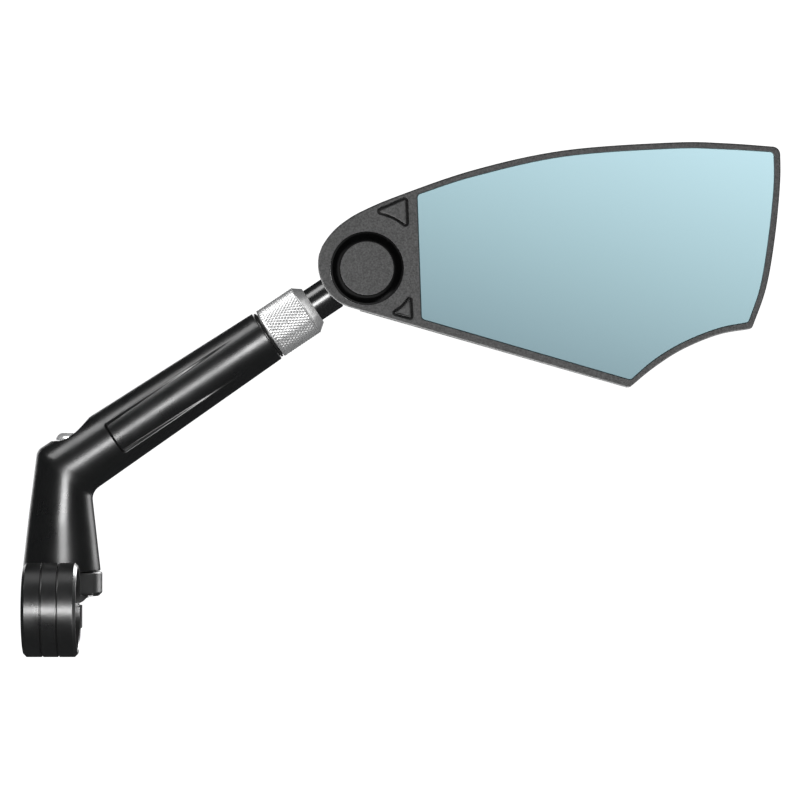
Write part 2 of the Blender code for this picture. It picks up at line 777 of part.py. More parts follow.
def make_head(head, stem_turn):
    outline = head_outline()
    glass = glass_outline(1.3 * MM)
    glass_round = glass_outline(3.5 * MM)
    back_up = (math.pi / 2, 0.0, 0.0)
    upper = [(2.7, 15.9), (10.9, 19.5), (11.2, 11.8)]
    lower = [(7.3, -12.6), (12.1, -8.1), (12.4, -14.0)]
    screw_spots = [Vector((8.58, 15.79)) * MM, Vector((10.61, -11.78)) * MM]

    # Flat pieces are drawn as the rider sees them, so their local Z points to the front
    bezel = flat("front_bezel", outline, -BEZEL_BACK, -FRONT, "grey_plastic", head, back_up)
    bevel(bezel, 0.5 * MM, 2)
    window = window_cutter(head, stem_turn)
    screw_holes = [
        drill(f"cover_screw_hole_{i}", 1.6 * MM, -BEZEL_BACK - 1 * MM, 8.4 * MM, head, back_up, spot, 18)
        for i, spot in enumerate(screw_spots)
    ]
    cut(
        bezel,
        flat("glass_pocket", inset(glass, -FIT_GAP), -POCKET_BACK, 12 * MM, None, head, back_up),
        drill("pivot_hole", RING_HOLE_R, 0.0, 12 * MM, head, back_up, steps=48),
        flat("upper_pocket", triangle(upper, 0.5 * MM, COVER_GAP), 7.9 * MM, 12 * MM, None, head, back_up),
        flat("lower_pocket", triangle(lower, 0.5 * MM, COVER_GAP), 7.9 * MM, 12 * MM, None, head, back_up),
        window,
        *screw_holes,
    )
    seam = bezel.modifiers.new("Weld", "WELD")
    seam.merge_threshold = 0.00001
    for name, corners in (("upper_cover", upper), ("lower_cover", lower)):
        cover = flat(name, triangle(corners, 0.5 * MM), 8.4 * MM, -FRONT, "grey_plastic", head, back_up)
        bevel(cover, 0.15 * MM)
    make_cover_screws(head, screw_spots)

    pane = flat("mirror_glass", glass, -GLASS_BACK, -GLASS_FRONT, "tinted_glass", head, back_up)
    bevel(pane, 0.4 * MM)
    flat("adhesive_pad", inset(glass_round, 2.5 * MM), -PAD_BACK, -PAD_FRONT, "foam", head, back_up)

    edge_steps = [(0.9 * MM, 2.8 * MM), (1.5 * MM, 1.2 * MM), (2.6 * MM, 0.35 * MM), (4.2 * MM, 0.0)]
    shell = backed_solid(
        "rear_shell", outline, (50 * MM, 0.0), SHELL_FRONT, 0.0, edge_steps, "grey_plastic", head
    )
    wall = 1.9 * MM
    hollow_steps = [(0.6 * MM, 1.6 * MM), (1.6 * MM, 0.5 * MM), (3.2 * MM, 0.0)]
    hollow = backed_solid(
        "shell_hollow", inset(glass_round, 1.5 * MM), (62 * MM, 2 * MM), SHELL_FRONT - 3 * MM, wall, hollow_steps,
        parent=head,
    )
    cut(
        shell,
        hollow,
        drill("lobe_bore", LOBE_BORE_R, -12 * MM, LOBE_BORE_END, head, ALONG_Y, steps=48),
        window,
    )
    for i, (x, z) in enumerate(screw_spots):
        cut(shell, drill(f"shell_screw_hole_{i}", 1.0 * MM, -2 * MM, 12 * MM, head, back_up, (x, z), 12))


def window_cutter(head, stem_turn):
    """The opening that lets the stem swing back from the head and the head roll about its disc."""
    start, end = 5.6 * MM, 17.0 * MM
    near, far = 7.0 * MM, 14.0 * MM
    window = flat(
        "stem_window",
        [(-start, near), (-start, -near), (-end, -far), (-end, far)],
        -12 * MM,
        8.0 * MM,
        None,
        head,
        (math.pi / 2, stem_turn[1], 0.0),
    )
    return window


def make_cover_screws(head, spots):
    head_r, shank_r = 1.3 * MM, 0.75 * MM
    tip, seat, top = 0.8 * MM, -7.0 * MM, -7.8 * MM
    profile = [(0.0, tip), (shank_r, tip), (shank_r, seat), (head_r, seat), (head_r, top), (0.0, top)]
    for name, spot in zip(("upper_cover_screw", "lower_cover_screw"), spots):
        screw = turned(name, profile, "steel", head, ALONG_Y, steps=16, loop=False)
        screw.location = (spot.x, 0.0, spot.y)


def make_pivot_trim(head):
    ring_front, ring_back, flange_front = -9.7 * MM, -7.6 * MM, -8.3 * MM
    hole_r, lip = CAP_R + 0.3 * MM, 0.9 * MM
    turned(
        "tension_ring",
        [
            (3.0 * MM, ring_back),
            (3.0 * MM, flange_front),
            (hole_r, flange_front),
            (hole_r, ring_front + lip),
            (TENSION_RING_R - lip, ring_front + lip),
            (TENSION_RING_R - 0.1 * MM, ring_front),
            (TENSION_RING_R, ring_front + 0.1 * MM),
            (TENSION_RING_R, ring_back),
        ][::-1],
        "black_gloss",
        head,
        ALONG_Y,
        steps=40,
    )
    cap_back, edge = -8.6 * MM, 0.2 * MM
    turned(
        "pivot_cap",
        [(0.0, cap_back), (CAP_R, cap_back), (CAP_R, FRONT + edge), (CAP_R - edge, FRONT), (0.0, FRONT)],
        "grey_plastic",
        head,
        ALONG_Y,
        steps=40,
        loop=False,
    )
    spring_in, spring_out, half, middle = 5.6 * MM, 8.3 * MM, 0.15 * MM, -7.15 * MM
    count = 36
    rings = []
    for i in range(count):
        a = math.tau * i / count
        wave = 0.1 * MM * math.cos(3 * a)
        section = [(spring_in, -half), (spring_out, -half), (spring_out, half), (spring_in, half)]
        rings.append(
            [(r * math.cos(a), middle + wave + depth, r * math.sin(a)) for r, depth in section]
        )
    bm = bmesh.new()
    rows = [[bm.verts.new(point) for point in ring] for ring in rings]
    for i in range(count):
        low, high = rows[i], rows[(i + 1) % count]
        for j in range(4):
            k = (j + 1) % 4
            bm.faces.new((low[j], low[k], high[k], high[j]))
    bmesh.ops.recalc_face_normals(bm, faces=bm.faces)
    mesh = bpy.data.meshes.new("wave_spring")
    bm.to_mesh(mesh)
    bm.free()
    add("wave_spring", mesh, "steel", head)


def main():
    along = Vector((math.cos(TUBE_RISE), 0.0, math.sin(TUBE_RISE)))
    swivel_axis = empty("swivel_axis", (BOLT_X, ARM_Y, 0.0))
    tube_axis = empty("tube_axis", ELBOW, math.pi / 2 - TUBE_RISE)
    ball_centre = empty("ball_centre", ELBOW + along * BALL_AT)
    stem_turn = (0.0, -TUBE_RISE, 0.0)
    make_clamp_ring()
    make_bolt(swivel_axis)
    make_arm(swivel_axis, tube_axis)
    make_arm_fittings(swivel_axis, tube_axis)
    make_collar(tube_axis)
    make_stem(tube_axis)
    make_seats(ball_centre, stem_turn)
    make_head(ball_centre, stem_turn)
    make_pivot_trim(ball_centre)


main()
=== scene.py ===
import json
import math

import bmesh
import bpy
from mathutils import Matrix, Vector

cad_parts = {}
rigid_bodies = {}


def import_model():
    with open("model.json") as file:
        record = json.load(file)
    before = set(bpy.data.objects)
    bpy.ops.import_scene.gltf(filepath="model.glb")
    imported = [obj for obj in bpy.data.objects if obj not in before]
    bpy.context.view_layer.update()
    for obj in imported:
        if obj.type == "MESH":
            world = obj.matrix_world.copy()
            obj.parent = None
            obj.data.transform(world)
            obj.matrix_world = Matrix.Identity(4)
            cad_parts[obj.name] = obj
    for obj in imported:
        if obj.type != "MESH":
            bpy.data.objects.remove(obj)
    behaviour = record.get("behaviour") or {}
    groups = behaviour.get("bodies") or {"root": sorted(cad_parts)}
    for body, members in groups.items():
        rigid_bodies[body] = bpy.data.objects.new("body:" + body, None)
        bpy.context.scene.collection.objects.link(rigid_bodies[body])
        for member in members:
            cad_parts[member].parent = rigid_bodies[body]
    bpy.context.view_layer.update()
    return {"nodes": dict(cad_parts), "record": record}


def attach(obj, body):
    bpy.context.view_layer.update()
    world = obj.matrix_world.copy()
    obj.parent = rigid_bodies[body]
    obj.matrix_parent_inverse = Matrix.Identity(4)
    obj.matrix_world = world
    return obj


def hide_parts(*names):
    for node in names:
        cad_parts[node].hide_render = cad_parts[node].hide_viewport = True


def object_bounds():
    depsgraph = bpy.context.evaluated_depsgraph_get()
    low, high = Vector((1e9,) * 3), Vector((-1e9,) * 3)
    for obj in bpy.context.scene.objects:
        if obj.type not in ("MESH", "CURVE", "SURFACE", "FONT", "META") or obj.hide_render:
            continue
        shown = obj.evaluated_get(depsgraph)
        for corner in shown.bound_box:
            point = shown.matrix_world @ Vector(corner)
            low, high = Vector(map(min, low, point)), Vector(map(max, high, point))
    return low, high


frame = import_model()

# Lengths are in millimetres until a mesh is made
MM = 0.001
JOINTS = {joint["name"]: joint for joint in frame["record"]["behaviour"]["joints"]}
ALONG = Vector(JOINTS["stem_extension"]["axis"])
ABOVE = Vector((-ALONG.z, 0.0, ALONG.x))
BALL = Vector(JOINTS["mirror_fold"]["pos_m"]) / MM
BALL_AT = 103.3
ELBOW = BALL - ALONG * BALL_AT
ARM_Y = BALL.y
RISE = math.atan2(ALONG.z, ALONG.x)
BOLT = Vector(JOINTS["arm_swivel"]["pos_m"]) / MM

# Axes of the groups of pieces: turned shapes stand on local Z
TUBE = Matrix.Translation(ELBOW) @ Matrix.Rotation(math.pi / 2 - RISE, 4, "Y")
BOLT_AXIS = Matrix.Translation((BOLT.x, BOLT.y, 0.0))
BAR = Matrix.Rotation(math.pi / 2, 4, "Y")
HEAD_BACK = Matrix.Translation(BALL) @ Matrix.Rotation(-math.pi / 2, 4, "X")
HEAD_FRONT = Matrix.Translation(BALL) @ Matrix.Rotation(math.pi / 2, 4, "X")


# Materials


def shader_nodes(name):
    mat = bpy.data.materials.new(name)
    mat.use_nodes = True
    nodes = mat.node_tree.nodes
    return mat, nodes, mat.node_tree.links, nodes["Principled BSDF"]


def noise(nodes, links, scale, detail):
    """The value of a noise texture in the piece's own coordinates."""
    place = nodes.new("ShaderNodeTexCoord")
    texture = nodes.new("ShaderNodeTexNoise")
    texture.inputs["Scale"].default_value = scale
    texture.inputs["Detail"].default_value = detail
    links.new(place.outputs["Object"], texture.inputs["Vector"])
    return texture.outputs["Fac"]


def ramp(nodes, links, value, stops):
    """A colour ramp: stops are (position, colour)."""
    node = nodes.new("ShaderNodeValToRGB")
    elements = node.color_ramp.elements
    while len(elements) < len(stops):
        elements.new(0.5)
    for element, (position, colour) in zip(elements, stops):
        element.position = position
        element.color = (*colour, 1.0)
    links.new(value, node.inputs["Fac"])
    return node.outputs["Color"]


def spread_out(nodes, links, value, low, high, start=0.3, end=0.7):
    """Maps values from start to end onto low to high."""
    node = nodes.new("ShaderNodeMapRange")
    node.inputs["From Min"].default_value = start
    node.inputs["From Max"].default_value = end
    node.inputs["To Min"].default_value = low
    node.inputs["To Max"].default_value = high
    links.new(value, node.inputs["Value"])
    return node.outputs["Result"]


def grained(name, dark, light, roughness, grain, depth, metallic=0.0, specular=0.5, ior=1.5):
    """A finish with fine grain: mottled colour, uneven gloss and a shallow bump of depth millimetres."""
    mat, nodes, links, shader = shader_nodes(name)
    fine = noise(nodes, links, grain, 4.0)
    broad = noise(nodes, links, grain / 14.0, 2.0)
    links.new(ramp(nodes, links, fine, [(0.3, dark), (0.7, light)]), shader.inputs["Base Color"])
    links.new(spread_out(nodes, links, broad, *roughness), shader.inputs["Roughness"])
    bump = nodes.new("ShaderNodeBump")
    bump.inputs["Strength"].default_value = 1.0
    bump.inputs["Distance"].default_value = depth * MM
    links.new(fine, bump.inputs["Height"])
    links.new(bump.outputs["Normal"], shader.inputs["Normal"])
    shader.inputs["Metallic"].default_value = metallic
    shader.inputs["Specular IOR Level"].default_value = specular
    shader.inputs["IOR"].default_value = ior
    return mat


def grey(value):
    return (value, value, value)


def tinted_mirror():
    """Blue mirror glass with a painted reflection: the colour runs from pale at the upper outer corner to
    deeper at the lower inner one, over the glass's own blue tint.
    """
    mat, nodes, links, shader = shader_nodes("tinted_mirror")
    place = nodes.new("ShaderNodeTexCoord")
    slope = nodes.new("ShaderNodeVectorMath")
    slope.operation = "DOT_PRODUCT"
    slope.inputs[1].default_value = (4.4, 0.0, 12.6)
    links.new(place.outputs["Object"], slope.inputs[0])
    lower_inner, upper_outer = 1.46, 2.49  # the slope's values at the glass's two ends
    # painted reflection: the pale-to-deep run across the glass and the lightness of its blue stand in for the
    # studio light the mirror reflects; the blue hue is the glass's tint
    painted_reflection = spread_out(nodes, links, slope.outputs["Value"], 0.0, 1.0, lower_inner, upper_outer)
    stops = [(0.0, (0.079, 0.129, 0.147)), (0.4, (0.13, 0.202, 0.223)), (1.0, (0.205, 0.305, 0.335))]
    links.new(ramp(nodes, links, painted_reflection, stops), shader.inputs["Base Color"])
    haze = noise(nodes, links, 90.0, 5.0)
    links.new(spread_out(nodes, links, haze, 0.03, 0.07), shader.inputs["Roughness"])
    shader.inputs["Metallic"].default_value = 0.5
    return mat


FINISHES = {
    "black_anodised": grained(
        "black_anodised", grey(0.002), grey(0.005), (0.27, 0.34), 2400.0, 0.01, ior=2.4
    ),
    "silver_aluminium": grained(
        "silver_aluminium", grey(0.84), grey(0.94), (0.25, 0.32), 1500.0, 0.0, metallic=0.85
    ),
    "bright_steel": grained("bright_steel", grey(0.62), grey(0.74), (0.18, 0.26), 1800.0, 0.003, metallic=1.0),
    "black_gloss_metal": grained(
        "black_gloss_metal", grey(0.004), grey(0.006), (0.22, 0.27), 900.0, 0.001, ior=2.8
    ),
    "grey_plastic": grained("grey_plastic", grey(0.03), grey(0.086), (0.5, 0.6), 2100.0, 0.05),
    "black_gloss_plastic": grained(
        "black_gloss_plastic", grey(0.001), grey(0.002), (0.2, 0.26), 700.0, 0.001, specular=0.18
    ),
    "nylon": grained("nylon", (0.6, 0.585, 0.53), (0.7, 0.69, 0.64), (0.45, 0.6), 1400.0, 0.01),
    "tinted_mirror": tinted_mirror(),
    "foam_tape": grained("foam_tape", grey(0.02), grey(0.05), (0.85, 0.95), 1900.0, 0.06),
    "seal_rubber": grained("seal_rubber", grey(0.008), grey(0.014), (0.6, 0.75), 2100.0, 0.01),
}


# Meshes

SUPPORT = 0.04  # how far beside a rounded corner the flat part starts
STRAIGHT = 0.12  # a corner that turns by less than this many radians is left as it is
SQUARE = 0.99998  # the cosine from which a face counts as square to a flat axis


def closed_mesh(verts, faces, name="cutter", sharp=30.0, flats=()):
    """An object from millimetre points, with its shading set."""
    mesh = bpy.data.meshes.new(name)
    mesh.from_pydata([Vector(v) * MM for v in verts], [], faces)
    obj = bpy.data.objects.new(name, mesh)
    bpy.context.scene.collection.objects.link(obj)
    tidy(mesh, sharp, flats)
    return obj


def piece(name, verts, faces, slot, body, nodes=(), sharp=32.0, flats=()):
    """A piece of the object from millimetre points, that rides on body and stands for CAD nodes."""
    dress(closed_mesh(verts, faces, name, sharp, flats), slot, body, nodes)


def dress(obj, slot, body, nodes):
    """Gives a piece the finish named by its slot, ties it to its body and hides the CAD nodes it stands for."""
    obj.data.materials.clear()
    obj.data.materials.append(FINISHES[slot])
    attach(obj, body)
    if nodes:
        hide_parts(*nodes)


def tidy(mesh, sharp, flats=()):
    """Faces outwards and smooth shading, but for edges sharper than an angle and faces square to the flats."""
    bm = bmesh.new()
    bm.from_mesh(mesh)
    bmesh.ops.recalc_face_normals(bm, faces=bm.faces)
    if bm.calc_volume(signed=True) < 0.0:
        bmesh.ops.reverse_faces(bm, faces=bm.faces)
    for face in bm.faces:
        face.smooth = True
    limit = math.radians(sharp)
    for edge in bm.edges:
        edge.smooth = len(edge.link_faces) == 2 and edge.calc_face_angle() < limit
    for face in bm.faces:
        if any(abs(face.normal.dot(axis)) > SQUARE for axis in flats):
            face.smooth = False
            for edge in face.edges:
                edge.smooth = edge.smooth and edge.calc_face_angle() < 0.001
    bm.to_mesh(mesh)
    bm.free()


def soften(profile, radius, closed=True, steps=3):
    """A polyline with its corners rounded."""
    points = [Vector(p) for p in profile]
    result = []
    for i, corner in enumerate(points):
        if not closed and i in (0, len(points) - 1):
            result.append(corner)
            continue
        before, after = points[i - 1] - corner, points[(i + 1) % len(points)] - corner
        turn = math.pi - before.angle(after)
        if turn < STRAIGHT:
            result.append(corner)
            continue
        reach = min(radius * math.tan(turn / 2), 0.45 * before.length, 0.45 * after.length)
        start, end = corner + before.normalized() * reach, corner + after.normalized() * reach
        if before.length > 3 * reach:
            result.append(corner + before.normalized() * (reach + SUPPORT))
        for k in range(steps + 1):
            t = k / steps
            result.append(start * (1 - t) ** 2 + corner * 2 * t * (1 - t) + end * t**2)
        if after.length > 3 * reach:
            result.append(corner + after.normalized() * (reach + SUPPORT))
    return result


def lathe(profile, matrix, steps=96, closed=True, relief=None):
    """Points and faces of a (radius, height) profile turned about local Z, with relief added to the radius."""
    verts, rows, faces = [], [], []
    for radius, height in profile:
        if radius < 1e-6:
            rows.append([len(verts)] * steps)
            verts.append(matrix @ Vector((0.0, 0.0, height)))
            continue
        rows.append([len(verts) + i for i in range(steps)])
        for i in range(steps):
            a = math.tau * i / steps
            r = radius + (relief(a, radius, height) if relief else 0.0)
            verts.append(matrix @ Vector((r * math.cos(a), r * math.sin(a), height)))
    pairs = list(zip(rows, rows[1:])) + ([(rows[-1], rows[0])] if closed else [])
    for low, high in pairs:
        for i in range(steps):
            j = (i + 1) % steps
            corners = [low[i], low[j], high[j], high[i]]
            corners = [c for k, c in enumerate(corners) if c != corners[k - 1]]
            if len(corners) > 2:
                faces.append(corners)
    return verts, faces


def turned_piece(name, profile, matrix, slot, body, nodes, soft, steps, closed=True):
    """A piece turned about local Z from a profile whose corners are rounded to the radius soft."""
    verts, faces = lathe(soften(profile, soft, closed), matrix, steps, closed)
    piece(name, verts, faces, slot, body, nodes, flats=[matrix.col[2].xyz])


def arc(centre, radius, start, end, steps):
    """Points of a circle's arc between two angles in degrees."""
    angles = [math.radians(start + (end - start) * i / steps) for i in range(steps + 1)]
    return [Vector((centre[0] + radius * math.cos(a), centre[1] + radius * math.sin(a))) for a in angles]


def fillet(before, corner, after, radius, steps):
    """The arc that rounds the corner between two straight runs."""
    before, corner, after = Vector(before), Vector(corner), Vector(after)
    to_before = (before - corner).normalized()
    to_after = (after - corner).normalized()
    half = to_before.angle(to_after) / 2
    centre = corner + (to_before + to_after).normalized() * radius / math.sin(half)
    reach = radius / math.tan(half)
    first = corner + to_before * reach - centre
    last = corner + to_after * reach - centre
    start = math.degrees(math.atan2(first.y, first.x))
    turn = math.degrees(math.atan2(first.x * last.y - first.y * last.x, first.dot(last)))
    return arc(centre, radius, start, start + turn, steps)


def smooth_run(points, steps=8, lead=None):
    """A smooth curve through a few points, which leaves the first one as if it came from lead."""
    knots = [Vector(point) for point in points]
    knots = [lead or knots[0] * 2 - knots[1]] + knots + [knots[-1] * 2 - knots[-2]]
    run = []
    for a, b, c, d in zip(knots, knots[1:], knots[2:], knots[3:]):
        for i in range(steps):
            t = i / steps
            run.append(
                (b * 2 + (c - a) * t + (a * 2 - b * 5 + c * 4 - d) * t**2 + (b * 3 - a - c * 3 + d) * t**3) / 2
            )
    return run + [knots[-2]]


def joined_runs(runs, radii, onward=None, steps=6):
    """One outline of several runs, each ending at the next one's start, with those corners rounded."""
    outline = []
    for i, run in enumerate(runs):
        after = runs[(i + 1) % len(runs)][1]
        if onward is not None and i == len(runs) - 1:
            after = onward
        room_before, room_after = radii[i - 1] * 1.4, radii[i] * 1.4
        for point in run[1:-1]:
            if (point - run[0]).length > room_before and (point - run[-1]).length > room_after:
                outline.append(point)
        outline += fillet(run[-2], run[-1], after, radii[i], steps)
    return outline


def plate_mesh(name, outline, low, high, edge, matrix, rounding):
    """A flat plate from an outline in local X and Y, with rounded edges, from low to high on local Z."""
    curve = bpy.data.curves.new(name, "CURVE")
    curve.dimensions = "2D"
    curve.fill_mode = "BOTH"
    curve.extrude = ((high - low) / 2 - edge) * MM
    curve.bevel_depth = edge * MM
    curve.bevel_resolution = rounding
    curve.offset = -edge * MM
    spline = curve.splines.new("POLY")
    spline.points.add(len(outline) - 1)
    for point, (x, y) in zip(spline.points, outline):
        point.co = (x * MM, y * MM, 0.0, 1.0)
    spline.use_cyclic_u = True
    source = bpy.data.objects.new(name + "_curve", curve)
    bpy.context.scene.collection.objects.link(source)
    bpy.context.view_layer.update()
    mesh = bpy.data.meshes.new_from_object(source.evaluated_get(bpy.context.evaluated_depsgraph_get()))
    bpy.data.objects.remove(source)
    mesh.name = name
    scale = Matrix.Translation(matrix.translation * MM) @ matrix.to_3x3().to_4x4()
    mesh.transform(scale @ Matrix.Translation((0.0, 0.0, (low + high) / 2 * MM)))
    bm = bmesh.new()
    bm.from_mesh(mesh)
    bmesh.ops.remove_doubles(bm, verts=bm.verts, dist=0.002 * MM)
    bm.to_mesh(mesh)
    bm.free()
    return mesh


def plate(name, outline, low, high, edge, matrix, rounding=3):
    """A flat plate as an object, with its shading set."""
    obj = bpy.data.objects.new(name, plate_mesh(name, outline, low, high, edge, matrix, rounding))
    bpy.context.scene.collection.objects.link(obj)
    tidy(obj.data, 32.0, [matrix.col[2].xyz])
    return obj


def boolean(obj, tool, operation="DIFFERENCE"):
    """Applies one exact Boolean and removes the tool."""
    modifier = obj.modifiers.new("Cut", "BOOLEAN")
    modifier.operation = operation
    modifier.solver = "EXACT"
    modifier.object = tool
    bpy.context.view_layer.update()
    evaluated = obj.evaluated_get(bpy.context.evaluated_depsgraph_get())
    mesh = bpy.data.meshes.new_from_object(evaluated)
    obj.modifiers.remove(modifier)
    obj.data = mesh
    bpy.data.objects.remove(tool)


def cylinder(matrix, radius, low, high, steps=64):
    """A cylinder on local Z, used to cut a hole."""
    profile = [(0.0, high), (radius, high), (radius, low), (0.0, low)]
    return closed_mesh(*lathe(profile, matrix, steps, closed=False))


def round_edges(obj, width, angle, segments=2, test=None):
    """Rounds the edges that turn by more than an angle, where test allows it."""
    bm = bmesh.new()
    bm.from_mesh(obj.data)
    limit = math.radians(angle)
    edges = [
        e
        for e in bm.edges
        if len(e.link_faces) == 2
        and e.calc_face_angle() > limit
        and (test is None or all(test(v.co / MM) for v in e.verts))
    ]
    bmesh.ops.bevel(
        bm, geom=edges, offset=width * MM, segments=segments, profile=0.5, affect="EDGES", clamp_overlap=True
    )
    bm.to_mesh(obj.data)
    bm.free()


# Clamp


def make_clamp():
    """The split ring with its two grooves, the ears behind it, the slit and the holes for the bolt."""
    half_width, chamfer, ring_r, bore_r, bore_flare = 7.5, 0.85, 13.0, 11.2, 2.3
    groove_x, groove_half, groove_depth, groove_slope = 2.25, 0.22, 0.45, 0.6
    bolt_hole_r, thread_r, slit_low, slit_high = 2.85, 2.6, 0.3, 1.5
    profile = [(0.0, half_width), (ring_r - chamfer, half_width), (ring_r, half_width - chamfer)]
    for x in (groove_x, -groove_x):
        profile += [(ring_r, x + groove_half), (ring_r - groove_depth, x + groove_half * groove_slope)]
        profile += [(ring_r - groove_depth, x - groove_half * groove_slope), (ring_r, x - groove_half)]
    profile += [(ring_r, chamfer - half_width), (ring_r - chamfer, -half_width), (0.0, -half_width)]
    ring = closed_mesh(*lathe(soften(profile, 0.12, False, 2), BAR, 144, False), "clamp_ring_body")

    boss_profile = [(0.0, 9.7), (8.85, 9.7), (8.85, 4.0), (7.85, 3.0), (0.0, 3.0)]
    boss = closed_mesh(*lathe(soften(boss_profile, 0.35, False), BOLT_AXIS, 96, False))
    web_outline = soften(
        [(-4.6, 9.0), (6.8, 9.0), (6.8, 13.0), (10.5, 16.9), (10.5, ARM_Y), (-4.6, ARM_Y)], 2.0, True, 8
    )
    web = plate("web", web_outline, 3.3, 9.4, 0.3, Matrix())
    lower_outline = soften([(-5.5, 9.0), (7.0, 9.0), (7.0, 28.0), (-5.5, 28.0)], 3.2, True, 8)
    lower = plate("lower", lower_outline, -6.2, 0.9, 0.4, Matrix())
    under = [(5.5, 1.65), (7.7, 1.65), (8.3, 2.3), (9.2, 2.85), (10.4, 3.2), (11.3, 3.6), (5.5, 3.6)]
    side_on = Matrix.Translation((0.0, 16.0, 0.0)) @ Matrix.Rotation(math.pi / 2, 4, "X")
    gusset = plate("gusset", under, -5.0, 5.0, 0.05, side_on, rounding=0)
    for part in (boss, web, lower, gusset):
        boolean(ring, part, "UNION")
    bore_profile = [(0.0, half_width + 2), (bore_r + bore_flare, half_width + 2), (bore_r, half_width - 0.3)]
    bore_profile += [(bore_r, 0.3 - half_width), (bore_r + bore_flare, -half_width - 2), (0.0, -half_width - 2)]
    slit_outline = [(-20, 5), (20, 5), (20, 40), (-20, 40)]
    slit = plate("slit", slit_outline, slit_low, slit_high, 0.01, Matrix(), rounding=0)
    boolean(ring, closed_mesh(*lathe(bore_profile, BAR, 144, False)))
    boolean(ring, slit)
    boolean(ring, cylinder(BOLT_AXIS, bolt_hole_r, 1.0, 12.0))
    boolean(ring, cylinder(BOLT_AXIS, thread_r, -10.0, 1.2))
    tidy(ring.data, 28.0, [Vector((1, 0, 0)), Vector((0, 0, 1))])
    ring.name = "clamp_ring_visual"
    dress(ring, "black_anodised", "clamp", ["clamp_ring"])


def make_bolt():
    """The long bolt with its domed hexagon socket head, and the washer under the head."""
    socket_r, socket_floor = 2.3, 47.3
    head = [(0.0, 48.8), (2.6, 48.7), (3.5, 48.35), (4.1, 47.75), (4.25, 47.3), (4.25, 46.7)]
    shank = [(2.45, 46.7), (2.45, -5.6), (1.95, -6.1), (0.0, -6.1)]
    bolt = closed_mesh(*lathe(soften(head + shank, 0.2, False), BOLT_AXIS, 72, False), "clamp_bolt_visual")
    boolean(bolt, cylinder(BOLT_AXIS, socket_r, socket_floor, 50.0, 6))
    tidy(bolt.data, 25.0, [Vector((0, 0, 1))])
    dress(bolt, "silver_aluminium", "clamp_bolt", ["clamp_bolt"])
    washer = [(2.75, 46.5), (5.0, 46.5), (5.0, 45.6), (2.75, 45.6)]
    turned_piece("washer_visual", washer, BOLT_AXIS, "silver_aluminium", "arm", ["bolt_washer"], 0.15, 72)


# Arm


def arm_columns():
    """Distances down the arm's front from its middle line, close together where the panel's sides run."""
    fine, coarse, lowest = 0.1, 0.5, 6.9
    stretches = [(-6.6, -5.1, coarse), (-5.1, -3.7, fine), (-3.7, 4.3, coarse), (4.3, 5.7, fine)]
    stretches.append((5.7, lowest, 0.4))
    down = []
    for a, b, step in stretches:
        count = round((b - a) / step)
        down += [a + (b - a) * i / count for i in range(count)]
    return down + [lowest]


def panel_share(s, down):
    """How much of the panel's recess there is at a place: 0 on the tube, 1 on the panel's floor."""
    start, end, low, high, corner, slope = 18.0, 80.0, -4.5, 5.1, 0.9, 0.62
    centre = Vector(((start + end) / 2, (low + high) / 2))
    half = Vector(((end - start) / 2, (high - low) / 2)) - Vector((corner, corner))
    away = Vector((abs(s - centre.x) - half.x, abs(down - centre.y) - half.y))
    outside = Vector((max(away.x, 0.0), max(away.y, 0.0))).length + min(max(away.x, away.y), 0.0) - corner
    share = min(max(0.5 - outside / slope, 0.0), 1.0)
    return share * share * (3.0 - 2.0 * share)


